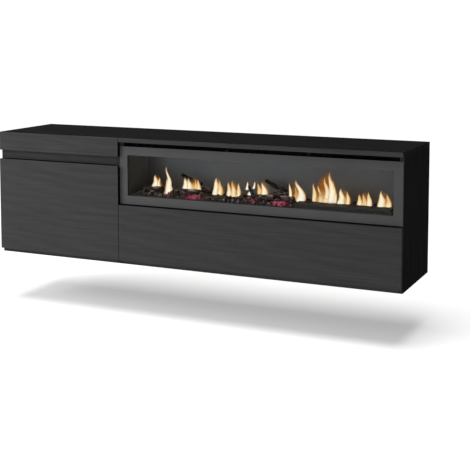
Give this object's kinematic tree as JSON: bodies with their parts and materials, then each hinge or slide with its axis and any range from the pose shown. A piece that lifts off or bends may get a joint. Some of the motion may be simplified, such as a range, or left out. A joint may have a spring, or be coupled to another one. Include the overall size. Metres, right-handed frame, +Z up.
{
  "type": "electric fireplace cabinet",
  "caption": "Wall-hung dark wood-grained cabinet with a side-hinged door, a drop flap and a built-in electric fireplace with glass front, ember bed, flame screen, heater and blower.",
  "frame": {"origin": "middle of the wall rail's screw line, on the wall plane", "axes": "+X to the right along the cabinet, +Y into the wall, +Z up; the fronts face -Y"},
  "size_m": [1.6, 0.35, 0.47],
  "materials": {
    "dark_board": "dark grey wood-grained laminate, satin",
    "back_board": "thin dark lacquered fibreboard",
    "zinc_steel": "zinc-plated steel",
    "nickel_steel": "nickel-plated steel",
    "grey_plastic": "moulded grey plastic",
    "black_plastic": "moulded black plastic",
    "clear_rubber": "clear soft bumper",
    "flange_paint": "dark silver satin paint",
    "black_paint": "matt black powder coat",
    "firebox_paint": "dark brown heat-proof paint",
    "screen_plastic": "grey translucent diffuser",
    "clear_glass": "clear toughened glass",
    "black_rubber": "black silicone",
    "ember_plastic": "translucent moulded embers",
    "log_resin": "painted cast logs",
    "burner_paint": "dark brown textured coat",
    "circuit_board": "green solder mask",
    "mirror_foil": "bright foil",
    "motor_shell": "motor can",
    "blower_alloy": "mill finish",
    "heater_alloy": "finned heater"
  },
  "bodies": {
    "cabinet": {"top_panel": "dark_board", "left_side_panel": "dark_board", "right_side_panel": "dark_board", "left_divider_panel": "dark_board", "right_divider_panel": "dark_board", "bottom_panel_left": "dark_board", "bottom_panel_right": "dark_board", "top_rail_left": "dark_board", "fireplace_shelf": "dark_board", "left_fascia": "dark_board", "right_top_strip": "dark_board", "adjustable_shelf": "dark_board", "back_panel_left": "back_board", "back_panel_right": "back_board", "wall_rail": "zinc_steel", "hanger_hooks": "zinc_steel", "shelf_pins": "zinc_steel", "connector_bolts": "zinc_steel", "cam_fittings": "zinc_steel", "stay_pins": "zinc_steel", "flap_hinge_fixed_leaves": "zinc_steel", "flap_hinge_pins": "zinc_steel", "blower_scroll": "zinc_steel", "flicker_rod_brackets": "zinc_steel", "hinge_arms": "nickel_steel", "hanger_housings": "grey_plastic", "latch_body": "grey_plastic", "cable_grommets": "black_plastic", "cord_gland": "black_plastic", "switch_body": "black_plastic", "fireplace_flange": "flange_paint", "fire_casing": "black_paint", "outlet_grille": "black_paint", "firebox_sides": "firebox_paint", "firebox_floor_and_roof": "firebox_paint", "flame_screen": "screen_plastic", "glass_pane": "clear_glass", "glass_gasket": "black_rubber", "ember_bed": "ember_plastic", "logs": "log_resin", "branches": "log_resin", "burner_block": "burner_paint", "ember_light_board": "circuit_board", "flame_light_board": "circuit_board", "control_board": "circuit_board", "flicker_motor": "motor_shell", "blower_motor": "motor_shell", "heating_element": "heater_alloy"},
    "hinge_links": {"hinge_links": "nickel_steel"},
    "door": {"door_panel": "dark_board", "hinge_cups": "nickel_steel", "door_bumpers": "clear_rubber"},
    "flap": {"flap_panel": "dark_board", "flap_hinge_moving_leaves": "zinc_steel", "stay_brackets": "zinc_steel"},
    "stay_bars": {"stay_bars": "zinc_steel"},
    "latch_plunger": {"latch_plunger": "grey_plastic"},
    "flicker_rod": {"flicker_rod": "mirror_foil"},
    "blower_impeller": {"blower_impeller": "blower_alloy"},
    "switch_rocker": {"switch_rocker": "black_plastic"}
  },
  "joints": [
    {"name": "hinge_link_turn", "type": "hinge", "parent": "cabinet", "child": "hinge_links", "pos_m": [-0.772, -0.325, -0.23], "axis": [0, 0, -1], "range_deg": [-30, 0]},
    {"name": "door_swing", "type": "hinge", "parent": "hinge_links", "child": "door", "pos_m": [-0.792, -0.339, -0.23], "axis": [0, 0, -1], "range_deg": [0, 130]},
    {"name": "flap_swing", "type": "hinge", "parent": "cabinet", "child": "flap", "pos_m": [0.2645, -0.3335, -0.405], "axis": [1, 0, 0], "range_deg": [0, 90]},
    {"name": "stay_turn", "type": "hinge", "parent": "flap", "child": "stay_bars", "pos_m": [0.2645, -0.3205, -0.321], "axis": [1, 0, 0], "range_deg": [-45, 0]},
    {"name": "plunger_slide", "type": "slide", "parent": "cabinet", "child": "latch_plunger", "axis": [0, -1, 0], "range_m": [0, 0.014]},
    {"name": "flicker_spin", "type": "hinge", "parent": "cabinet", "child": "flicker_rod", "pos_m": [0.2645, -0.125, -0.15], "axis": [1, 0, 0], "continuous": true},
    {"name": "blower_spin", "type": "hinge", "parent": "cabinet", "child": "blower_impeller", "pos_m": [0.2645, -0.118, -0.004], "axis": [1, 0, 0], "continuous": true},
    {"name": "rocker_tilt", "type": "hinge", "parent": "cabinet", "child": "switch_rocker", "pos_m": [0.71, -0.075, -0.038], "axis": [1, 0, 0], "range_deg": [-16, 0]}
  ],
  "couplings": [
    {"joint": "hinge_link_turn", "follows": "door_swing", "ratio": -0.23077},
    {"joint": "stay_turn", "follows": "flap_swing", "ratio": -0.5},
    {"joint": "plunger_slide", "follows": "flap_swing", "m_per_rad": 0.0089}
  ]
}
